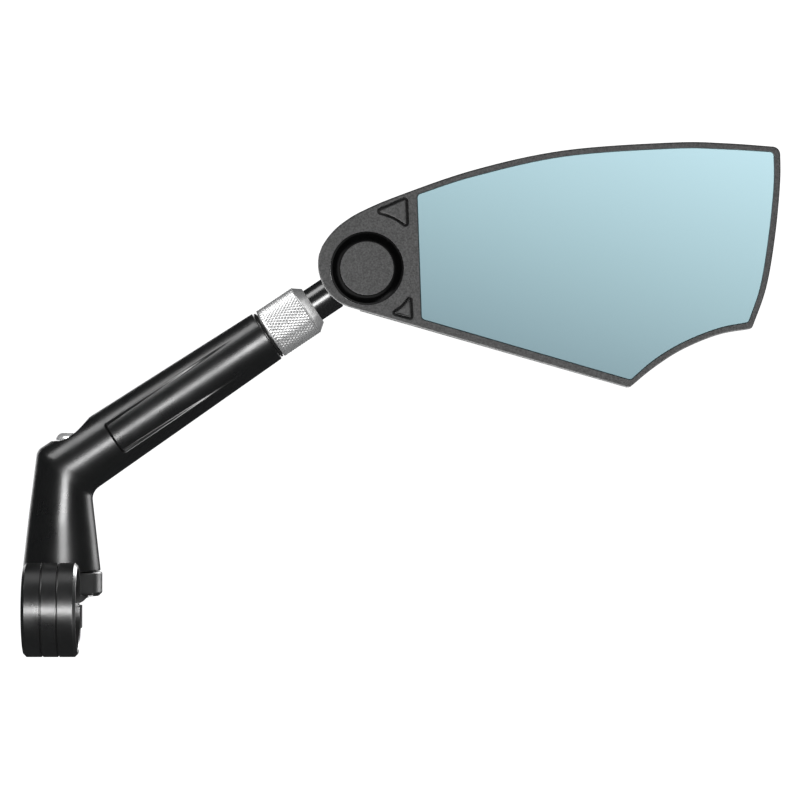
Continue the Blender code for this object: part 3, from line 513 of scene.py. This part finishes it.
def make_arm():
    """The elbow arm: sections up the leg, round the bend and along the tube, then the pocket and the bolt hole.

    A section is its outer and inner point in X and Z, its half depth in Y, and its place along the tube
    where the panel can lie.
    """
    leg_low, leg_x, leg_low_r, leg_taper, foot_edge = 10.0, ELBOW.x, 11.0, 0.1117, 0.5
    elbow_r, tube_taper, tube_end, end_edge = 9.18, 0.02354, 69.4, 0.32
    least_depth, round_above, blend = 9.15, 1.6, 0.5  # the leg's half depth, and how it meets the round foot
    bend_depth, bend_steps, panel_floor, back_steps = 9.17, 28, 7.72, 44
    spigot_r, spigot_end, bore_r, bore_floor = 6.6, 78.0, 5.7, 20.0

    def leg_r(z):
        return leg_low_r - leg_taper * (z - leg_low)

    def tube_r(s):
        return elbow_r - tube_taper * s

    def leg_section(z, r):
        over = r - least_depth
        depth = r if over > round_above else least_depth + (over + math.hypot(over, blend)) / 2
        return Vector((leg_x - r, z)), Vector((leg_x + r, z)), depth, None

    def tube_section(s, r, panel=True):
        centre = ELBOW + ALONG * s
        outer, inner = centre + ABOVE * r, centre - ABOVE * r
        return outer.xz, inner.xz, r, s if panel else None

    sections = []
    for i in range(5):
        a = math.pi / 2 * i / 4
        z = leg_low + foot_edge * (1 - math.cos(a))
        sections.append(leg_section(z, leg_r(z) - foot_edge * (1 - math.sin(a))))
    sections += [leg_section(z, leg_r(z)) for z in (13.0, 16.0, 19.0, 22.0, 24.5)]
    leg_outer, leg_inner, _, _ = leg_section(leg_low, leg_low_r)
    tube_outer, tube_inner, _, _ = tube_section(tube_end, tube_r(tube_end))
    outer_bend = fillet(leg_outer, (-5.6, 43.85), tube_outer, 3.0, bend_steps)
    inner_bend = fillet(leg_inner, (9.8, 32.15), tube_inner, 4.0, bend_steps)
    for outer, inner in zip(outer_bend, inner_bend):
        sections.append((outer, inner, bend_depth, None))
    stations = [7.0 + i for i in range(10)] + [17.2 + 0.1 * i for i in range(22)]  # close at the panel's end
    stations += [19.5 + i * 1.25 for i in range(40)]
    sections += [tube_section(s, tube_r(s)) for s in stations if s < 68.9]
    end = arc((69.08, tube_r(tube_end) - end_edge), end_edge, 90.0, 0.0, 6)
    end += [(tube_end, spigot_r), (spigot_end, spigot_r), (spigot_end, bore_r), (bore_floor, bore_r)]
    sections += [tube_section(s, r, False) for s, r in end]

    front = arm_columns()
    verts, rows = [], []
    for outer, inner, half_depth, s in sections:
        middle, reach = (outer + inner) / 2, (outer - inner) / 2
        r = reach.length
        spots = []
        span = half_depth if s is not None else elbow_r
        first, last = math.asin(front[0] / span), math.asin(front[-1] / span)
        for down in front:
            phi = math.asin(down / span)
            share = panel_share(s, down) if s is not None else 0.0
            spots.append((phi, 1.0 - share * max(0.0, 1.0 - panel_floor / r)))
        for i in range(1, back_steps):
            phi = last + (math.tau + first - last) * i / back_steps
            spots.append((phi, 1.0))
        row = []
        for phi, grow in spots:
            down, ahead = math.sin(phi) * grow, math.cos(phi) * grow
            x, z = middle - reach * down
            row.append(len(verts))
            verts.append((x, ARM_Y - half_depth * ahead, z))
        rows.append(row)
    faces = []
    count = len(rows[0])
    for low, high in zip(rows, rows[1:]):
        for i in range(count):
            j = (i + 1) % count
            faces.append((low[i], low[j], high[j], high[i]))
    foot = len(verts)
    verts.append((leg_x, ARM_Y, leg_low))
    tip = len(verts)
    verts.append(ELBOW + ALONG * 18.0)
    for i in range(count):
        j = (i + 1) % count
        faces.append((rows[0][j], rows[0][i], foot))
        faces.append((rows[-1][i], rows[-1][j], tip))
    arm = closed_mesh(verts, faces, "arm_visual")
    pocket_r, bolt_hole_r, washer_r = 5.4, 2.85, 6.3
    hole = [(0.0, 65.0), (pocket_r, 65.0), (pocket_r, 45.35), (bolt_hole_r, 45.35), (bolt_hole_r, 11.1)]
    hole += [(washer_r, 11.1), (washer_r, 5.0), (0.0, 5.0)]
    boolean(arm, closed_mesh(*lathe(hole, BOLT_AXIS, 96, False)))

    def at_pocket(point):
        return point.z > 41.0 and math.hypot(point.x - BOLT.x, point.y - BOLT.y) < pocket_r + 0.1

    round_edges(arm, 0.16, 40.0, 2, at_pocket)
    tidy(arm.data, 34.0)
    dress(arm, "black_anodised", "arm", ["arm_casting"])

    seal = [(6.8, 70.2), (7.15, 70.2), (7.15, 69.6), (6.8, 69.6)]
    turned_piece("tube_seal_visual", seal, TUBE, "seal_rubber", "arm", ["tube_seal"], 0.1, 96)


def make_collar():
    """The lock collar, with a diamond knurl cut by two crossing sets of grooves that climb lead per tooth."""
    collar_r, knurl_low, knurl_high, count = 7.45, 71.4, 82.2, 72
    teeth, lead, depth, crest_width = 52, 1.5, 0.25, 1.15
    profile = [(5.2, 84.9), (5.6, 84.9), (7.2, 82.8), (collar_r, 82.55)]
    profile += [(collar_r, knurl_high - (knurl_high - knurl_low) * i / count) for i in range(count + 1)]
    profile += [(collar_r, 70.7), (7.2, 70.4), (6.95, 70.4), (6.95, 79.6), (5.2, 84.0)]

    def relief(a, radius, height):
        if radius < collar_r - 0.01 or not knurl_low < height < knurl_high:
            return 0.0
        turn = a * teeth / math.tau
        u, v = turn + height / lead, turn - height / lead
        crest = 1.0 - max(abs(2 * (u % 1.0) - 1), abs(2 * (v % 1.0) - 1))
        return -depth * (1.0 - min(1.0, crest * crest_width))

    verts, faces = lathe(soften(profile, 0.12), TUBE, teeth * 8, True, relief)
    piece("lock_collar_visual", verts, faces, "silver_aluminium", "lock_collar", ["lock_collar"], 24.0)


# Stem


def make_stem():
    """The rod, and the stud whose ball carries the mirror head."""
    rod_r, ball_r, neck_r = 4.9, 7.0, 3.0
    rod = [(0.0, 81.0), (2.8, 81.0), (2.8, 92.0), (rod_r, 92.0), (rod_r, 36.3), (3.9, 36.3), (3.9, 28.0)]
    rod += [(1.9, 28.0), (1.9, 37.0), (0.0, 37.0)]
    turned_piece("stem_visual", rod, TUBE, "black_gloss_metal", "stem", ["extension_rod"], 0.3, 112, False)
    rise = math.degrees(math.asin(neck_r / ball_r))
    ball = [Vector((max(p.x, 0.0), BALL_AT + p.y)) for p in arc((0.0, 0.0), ball_r, 90.0, rise - 90.0, 28)]
    ball[0] = Vector((0.0, BALL_AT + ball_r))
    neck = [ball[-1], (neck_r, 93.2), (3.3, 92.9), (3.3, 92.3), (2.5, 92.3), (2.5, 81.6), (0.0, 81.6)]
    neck = soften(neck, 0.1, False)
    verts, faces = lathe(ball[:-1] + neck, TUBE, 72, False)
    piece("ball_stud_visual", verts, faces, "bright_steel", "stem", ["ball_stud"])


# Mirror head


def head_outline():
    """The mirror head seen from the rider: round nose on the left, blade on the right, clockwise."""
    nose = arc((-0.975, 1.21), 12.73, 253.9, 168.0, 40)
    knots = [nose[-1], (-11.9, 7.2), (-9.4, 10.4), (-6.2, 13.1), (-1.5, 15.9), (8.6, 20.2), (30.0, 27.5)]
    top = smooth_run(knots + [(55.0, 32.9), (85.0, 35.1), (100.0, 34.9), (115.3, 33.8)], lead=nose[-12])
    outer = smooth_run([(115.3, 33.8), (115.3, 24.0), (113.9, 9.0), (111.4, -5.5), (107.4, -16.9)])
    notch = smooth_run([(107.4, -16.9), (98.0, -18.6), (88.0, -22.7), (80.0, -27.8), (73.1, -33.45)])
    return nose + joined_runs([top, outer, notch], [2.2, 1.5, 1.5], nose[0])


def glass_outline(corner_r):
    """The mirror glass, clockwise from its lower left corner."""
    left = [Vector((15.1, -14.25)), Vector((13.9, 20.6))]
    top = smooth_run([(13.9, 20.6), (30.0, 25.8), (55.0, 31.3), (85.0, 33.5), (100.0, 33.3), (113.6, 32.5)])
    outer = smooth_run([(113.6, 32.5), (113.6, 23.0), (112.2, 9.0), (109.9, -5.0), (106.5, -15.2)])
    notch = smooth_run([(106.5, -15.2), (98.0, -16.9), (88.0, -20.9), (80.0, -25.8), (73.6, -31.3)])
    return joined_runs([left, top, outer, notch, [notch[-1], left[0]]], [corner_r] * 5)


def inset(outline, distance):
    """The outline moved inwards by distance. The outline runs clockwise."""
    moved = []
    for i, point in enumerate(outline):
        before, after = outline[i - 1], outline[(i + 1) % len(outline)]
        a = (point - before).normalized()
        b = (after - point).normalized()
        inward = Vector((a.y + b.y, -a.x - b.x)).normalized()
        moved.append(point + inward * distance / max(inward.dot(Vector((a.y, -a.x))), 0.3))
    return moved


def triangle(corners, radius, hollow):
    """A small triangle with rounded corners, clockwise, whose side after the corner hollow bows inwards."""
    points = [Vector(corner) for corner in corners]
    outline = []
    for i, corner in enumerate(points):
        outline += fillet(points[i - 1], corner, points[(i + 1) % 3], radius, 6)
    a, b = points[hollow], points[(hollow + 1) % 3]
    side, bow = (b - a).normalized(), 0.05 * (b - a).length
    inward = Vector((side.y, -side.x))
    bowed = []
    for i, point in enumerate(outline):
        bowed.append(point)
        after = outline[(i + 1) % len(outline)]
        if (after - point).normalized().dot(side) > 0.999 and (after - point).length > 1.0:
            for k in range(1, 10):
                t = k / 10
                bowed.append(point.lerp(after, t) + inward * bow * math.sin(math.pi * t))
    return bowed


def back_depth(x, z):
    """How far behind the ball's centre the head's back stands at a point seen from the rider."""
    blade = 3.4 - 3.0 * ((x - 50) / 65) ** 2 - 1.6 * (z / 30) ** 2
    reach = min(max((36.0 - math.hypot(x, z)) / 22.5, 0.0), 1.0)
    return blade + (9.8 - blade) * reach * reach * (3.0 - 2.0 * reach)


def window_cutter():
    """The opening in the head's side that the stem passes through and swings in."""
    turned_front = Matrix.Translation(BALL) @ Matrix.Rotation(-RISE, 4, "Y")
    turned_front = turned_front @ Matrix.Rotation(math.pi / 2, 4, "X")
    outline = [(-5.6, 7.0), (-5.6, -7.0), (-17.0, -14.0), (-17.0, 14.0)]
    return plate("window", soften(outline, 1.0), -12.0, 8.0, 0.01, turned_front, rounding=0)


def dome_mesh(name, rows, tip):
    """A closed body from rows of points, measured from the ball's centre.

    The first row is capped, and the last is closed by a fan of faces that meet in the tip.
    """
    verts = [BALL + Vector(point) for row in rows for point in row] + [BALL + Vector(tip)]
    count = len(rows[0])
    faces = [tuple(range(count))]
    for k in range(len(rows) - 1):
        for i in range(count):
            j = (i + 1) % count
            faces.append((k * count + i, k * count + j, (k + 1) * count + j, (k + 1) * count + i))
    last = (len(rows) - 1) * count
    for i in range(count):
        faces.append((last + i, last + (i + 1) % count, len(verts) - 1))
    return closed_mesh(verts, faces, name)


def make_hollow(glass):
    """The space behind the glass, which leaves a wall of even thickness at the back."""
    wall, centre, outline, steps = 1.6, Vector((62.0, 4.0)), inset(glass, 0.8), 14
    rows = [[(p.x, -7.0, p.y) for p in outline]]
    for i in range(steps):
        row = [centre + (point - centre) * (1 - i / steps) for point in outline]
        rows.append([(p.x, back_depth(*p) - wall, p.y) for p in row])
    return dome_mesh("hollow", rows, (centre.x, back_depth(*centre) - wall, centre.y))


def make_shell(outline, glass):
    """The back of the head: a rounded edge of (distance inwards, drop), then rows that shrink to the centre."""
    centre, rim_y, steps, socket_r = Vector((50.0, 0.0)), -5.3, 26, 8.95
    edge = [(0.0, 6.0), (0.3, 4.4), (0.9, 2.8), (1.2, 1.95), (1.5, 1.25), (2.0, 0.7), (2.6, 0.35), (3.4, 0.1)]
    rows = [[(p.x, -5.55, p.y) for p in outline]]
    for distance, drop in edge:
        row = []
        for point in outline:
            ray = point - centre
            spot = centre + ray * (1.0 - distance / ray.length)
            row.append((spot.x, max(back_depth(*spot) - drop, rim_y), spot.y))
        rows.append(row)
    for i in range(steps):
        share = 0.93 * (1 - i / steps)
        row = [centre + (point - centre) * share for point in outline]
        rows.append([(p.x, back_depth(*p), p.y) for p in row])
    shell = dome_mesh("rear_shell_visual", rows, (centre.x, back_depth(*centre), centre.y))
    boolean(shell, make_hollow(glass))
    boolean(shell, cylinder(HEAD_BACK, socket_r, -12.0, 7.3, 96))
    boolean(shell, window_cutter())
    tidy(shell.data, 36.0)
    dress(shell, "grey_plastic", "mirror_head", ["rear_shell"])


def circle(radius, steps=128):
    angles = [math.tau * i / steps for i in range(steps)]
    return [Vector((radius * math.cos(a), radius * math.sin(a))) for a in angles]


def make_head():
    """The bezel with its holes, the covers, glass, ring and cap in them, and the shell behind."""
    front = 9.8  # how far the bezel's face stands in front of the ball's centre
    outline, glass = head_outline(), glass_outline(1.3)
    upper = [(2.7, 15.9), (10.9, 19.5), (11.2, 11.8)]
    lower = [(7.3, -12.6), (12.1, -8.1), (12.4, -14.0)]
    covers = [triangle(upper, 0.5, 2), triangle(lower, 0.35, 0)]
    holes = [inset(glass, -0.05), circle(10.3)] + [inset(cover, -0.6) for cover in covers]
    bezel = plate("bezel_visual", outline, 5.8, front, 0.45, HEAD_FRONT, rounding=4)
    for hole in holes:
        boolean(bezel, plate("hole", hole, 4.0, 12.0, 0.01, HEAD_FRONT, rounding=0))
    front_y = BALL.y - front
    round_edges(bezel, 0.14, 60.0, 2, lambda point: abs(point.y - front_y) < 0.001)
    boolean(bezel, window_cutter())
    tidy(bezel.data, 32.0, [Vector((0, 1, 0))])
    dress(bezel, "grey_plastic", "mirror_head", ["front_bezel"])
    for name, cover in zip(("upper_cover", "lower_cover"), covers):
        lid = plate(name + "_visual", inset(cover, 0.15), 8.4, 9.72, 0.34, HEAD_FRONT)
        dress(lid, "grey_plastic", "mirror_head", [name])
    pane = plate("mirror_glass_visual", glass, 7.6, 9.7, 0.22, HEAD_FRONT, rounding=0)
    dress(pane, "tinted_mirror", "mirror_head", ["mirror_glass"])
    make_shell(outline, glass)

    dish = [(3.0, -7.6), (3.0, -8.3), (7.75, -8.3), (7.75, -8.8)]
    dish += [(7.75 + 2.1 * t, -8.8 - 0.25 * t - 0.65 * t * t) for t in (0.2, 0.4, 0.6, 0.8, 0.95)]
    dish += [(10.26, -9.7), (10.26, -7.6)]
    verts, faces = lathe(soften(dish[::-1], 0.04), HEAD_BACK, 144)
    piece("tension_ring_visual", verts, faces, "black_gloss_plastic", "mirror_head", ["tension_ring"])
    cap = [(0.0, -8.6), (7.45, -8.6), (7.45, -front), (0.0, -front)]
    cap_finish = ("grey_plastic", "mirror_head", ["pivot_cap"])
    turned_piece("pivot_cap_visual", cap, HEAD_BACK, *cap_finish, 0.15, 144, False)


def finish_hidden_nodes():
    """The pieces inside keep their CAD shape and get a finish of their own."""
    hidden = {
        "nylon": ("swivel_washer", "collet", "guide_bush", "seat_front", "seat_rear"),
        "bright_steel": ("bush_screw", "wave_spring", "upper_cover_screw", "lower_cover_screw"),
        "foam_tape": ("adhesive_pad",),
    }
    for finish, nodes in hidden.items():
        for node in nodes:
            obj = frame["nodes"][node]
            obj.data.materials.clear()
            obj.data.materials.append(FINISHES[finish])


# Studio

OBJECT_MIDDLE = (0.07, 0.02, 0.05)


def emitter(name, colour, strength):
    """A surface that glows evenly."""
    mat, _, _, shader = shader_nodes(name)
    shader.inputs["Base Color"].default_value = (*colour, 1.0)
    shader.inputs["Emission Color"].default_value = (*colour, 1.0)
    shader.inputs["Emission Strength"].default_value = strength
    shader.inputs["Roughness"].default_value = 0.9
    shader.inputs["Specular IOR Level"].default_value = 0.0
    return mat


def softbox(name, azimuth, elevation, distance, size, radiance, lit, target=OBJECT_MIDDLE, alone=False):
    """An area light at distance metres from the target, for the lit pieces only.

    It stands towards an azimuth (0 is the rider's side, 90 the right) and an elevation. With alone, no
    other piece casts a shadow from it.
    """
    light = bpy.data.lights.new(name, "AREA")
    light.shape = "RECTANGLE"
    light.size, light.size_y = size
    light.energy = radiance * size[0] * size[1] * math.pi
    obj = bpy.data.objects.new(name, light)
    bpy.context.scene.collection.objects.link(obj)
    a, e = math.radians(azimuth), math.radians(elevation)
    away = Vector((math.sin(a) * math.cos(e), -math.cos(a) * math.cos(e), math.sin(e)))
    obj.location = Vector(target) + away * distance
    obj.rotation_euler = away.to_track_quat("Z", "Y").to_euler()
    obj.visible_camera = False
    group = bpy.data.collections.new(name + "_lit")
    for piece_name in lit:
        group.objects.link(bpy.data.objects[piece_name])
    obj.light_linking.receiver_collection = group
    if alone:
        obj.light_linking.blocker_collection = group


def make_surroundings():
    """The white floor under the object and the white sphere around it."""
    low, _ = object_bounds()
    under = low.z - 0.0003
    bpy.ops.mesh.primitive_circle_add(vertices=128, radius=5.0, fill_type="NGON", location=(0.1, 0.0, under))
    floor = bpy.context.object
    floor.name = "floor"
    floor.data.materials.append(emitter("floor_white", (0.9, 0.9, 0.9), 1.25))
    bm = bmesh.new()
    bmesh.ops.create_uvsphere(bm, u_segments=64, v_segments=32, radius=7.0)
    mesh = bpy.data.meshes.new("backdrop")
    bm.to_mesh(mesh)
    bm.free()
    backdrop = bpy.data.objects.new("backdrop", mesh)
    bpy.context.scene.collection.objects.link(backdrop)
    mesh.materials.append(emitter("backdrop_white", (1.0, 1.0, 1.0), 1.05))
    for obj in (floor, backdrop):
        obj.visible_glossy = False
    backdrop.visible_diffuse = False
    floor.visible_shadow = backdrop.visible_shadow = False


def make_lights():
    """A set of softboxes for each group of pieces."""
    visuals = [obj.name for obj in bpy.data.objects if obj.name.endswith("_visual")]
    silver = ["lock_collar_visual", "clamp_bolt_visual", "washer_visual"]
    glass, ring = ["mirror_glass_visual"], ["clamp_ring_visual"]
    head_front = ["bezel_visual", "pivot_cap_visual", "upper_cover_visual", "lower_cover_visual"]
    black = ["clamp_ring_visual", "arm_visual", "stem_visual", "tube_seal_visual"]
    rest = [name for name in visuals if name not in silver + glass]
    softbox("front_box", 8.0, 1.0, 2.6, (1.1, 0.8), 7.0, black)
    softbox("ring_box", 8.0, 0.0, 2.6, (1.1, 0.4), 13.0, ring)
    softbox("ring_edge", 146.0, 22.0, 2.0, (0.9, 1.3), 8.0, ring)
    softbox("ear_box", 56.0, -12.0, 2.0, (0.9, 1.0), 5.0, ring)
    softbox("front_fill", 8.0, 10.0, 2.6, (2.0, 2.0), 1.5, [name for name in rest if name not in black])
    softbox("tube_box", -60.0, 52.0, 2.2, (1.0, 0.8), 2.0, rest)
    softbox("leg_edge", 132.0, 8.0, 2.2, (1.0, 1.4), 1.6, black)
    softbox("glass_box", 8.0, -2.6, 2.6, (1.0, 0.9), 2.4, glass)
    softbox("glass_wide", 0.0, 0.0, 2.6, (4.4, 4.4), 1.0, glass)
    for i, (azimuth, elevation) in enumerate(((-90.0, 0.0), (90.0, 0.0), (0.0, 88.0), (0.0, -88.0))):
        softbox(f"glass_side_{i}", azimuth, elevation, 1.4, (2.6, 2.6), 1.2, glass)
    softbox("silver_key", -20.0, 40.0, 2.0, (2.6, 2.0), 2.7, silver)
    softbox("silver_side", 95.0, 30.0, 2.0, (2.4, 2.4), 1.3, silver, alone=True)
    softbox("silver_front", 5.0, -30.0, 2.0, (1.6, 0.8), 1.8, silver)
    softbox("bolt_box", -10.0, 15.0, 2.0, (2.0, 2.0), 5.0, silver[1:])
    softbox("silver_low", -90.0, -33.0, 2.0, (1.0, 1.0), 1.2, silver, alone=True)
    softbox("back_box", 160.0, 35.0, 2.4, (1.4, 1.2), 3.0, rest)
    softbox("back_low", -155.0, 5.0, 2.4, (1.0, 1.2), 1.6, rest + silver)
    softbox("overhead", 0.0, 90.0, 2.5, (2.0, 1.4), 0.4, rest)
    softbox("edge_card", 0.0, -88.0, 0.6, (0.5, 0.4), 13.0, head_front, (0.14, 0.02, 0.08))
    softbox("nose_card", -90.0, -40.0, 0.5, (0.4, 0.4), 16.0, head_front, (0.1, 0.02, 0.09), alone=True)

    world = bpy.data.worlds.new("studio")
    world.use_nodes = True
    background = world.node_tree.nodes["Background"]
    background.inputs["Color"].default_value = (0.9, 0.95, 1.0, 1.0)
    background.inputs["Strength"].default_value = 0.035
    bpy.context.scene.world = world


def make_camera():
    bpy.context.scene.view_settings.view_transform = "Standard"
    camera = bpy.data.cameras.new("camera")
    camera.sensor_width = 36.0
    camera.lens = 211.8
    camera.clip_start, camera.clip_end = 0.1, 30.0
    view = bpy.data.objects.new("camera", camera)
    view.location = (0.0964, -1.3, 0.058)
    view.rotation_euler = (math.pi / 2, 0.0, 0.0)
    bpy.context.scene.collection.objects.link(view)
    bpy.context.scene.camera = view


make_clamp()
make_bolt()
make_arm()
make_collar()
make_stem()
make_head()
finish_hidden_nodes()
make_surroundings()
make_lights()
make_camera()
